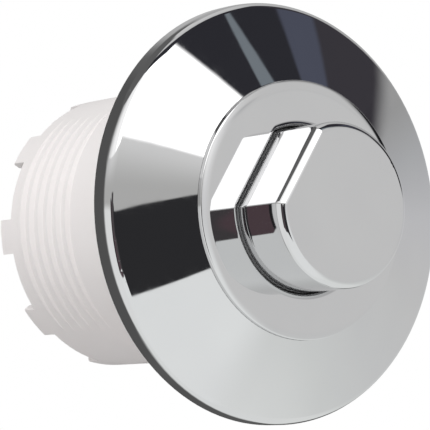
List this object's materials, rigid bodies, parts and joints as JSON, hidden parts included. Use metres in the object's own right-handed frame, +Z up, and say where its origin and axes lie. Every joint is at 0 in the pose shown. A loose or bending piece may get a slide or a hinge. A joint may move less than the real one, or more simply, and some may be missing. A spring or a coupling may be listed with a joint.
{
  "type": "push button cistern actuator",
  "caption": "Wall-mounted push button for a concealed cistern: chrome button with one flat in a conical chrome rosette, on a white threaded sleeve with an air bellows inside.",
  "frame": {"origin": "centre of the rosette's back, on the wall's surface", "axes": "+Y into the wall along the button's axis, +Z up, the button faces -Y"},
  "size_m": [0.1, 0.098, 0.1],
  "materials": {
    "polished_chrome": "polished chrome plate",
    "white_plastic": "moulded, satin",
    "natural_acetal": "moulded, satin",
    "bright_steel": "bright drawn",
    "black_rubber": "moulded, matt"
  },
  "bodies": {
    "housing": {"escutcheon": "polished_chrome", "face_plate": "polished_chrome", "threaded_sleeve": "white_plastic", "rear_cap": "white_plastic", "guide_bush": "natural_acetal", "return_spring": "bright_steel", "bellows_clamp": "bright_steel", "bellows": "black_rubber", "flange_gasket": "black_rubber", "plate_seal": "black_rubber"},
    "button": {"push_button": "polished_chrome", "stop_gasket": "black_rubber", "button_carrier": "natural_acetal", "carrier_screws": "bright_steel", "stem_clip": "bright_steel"}
  },
  "joints": [
    {"name": "button_press", "type": "slide", "parent": "housing", "child": "button", "axis": [0, 1, 0], "range_m": [0, 0.009], "stiffness_N_per_m": 1200, "springref_m": -0.008, "deforming": ["return_spring", "bellows"]}
  ]
}
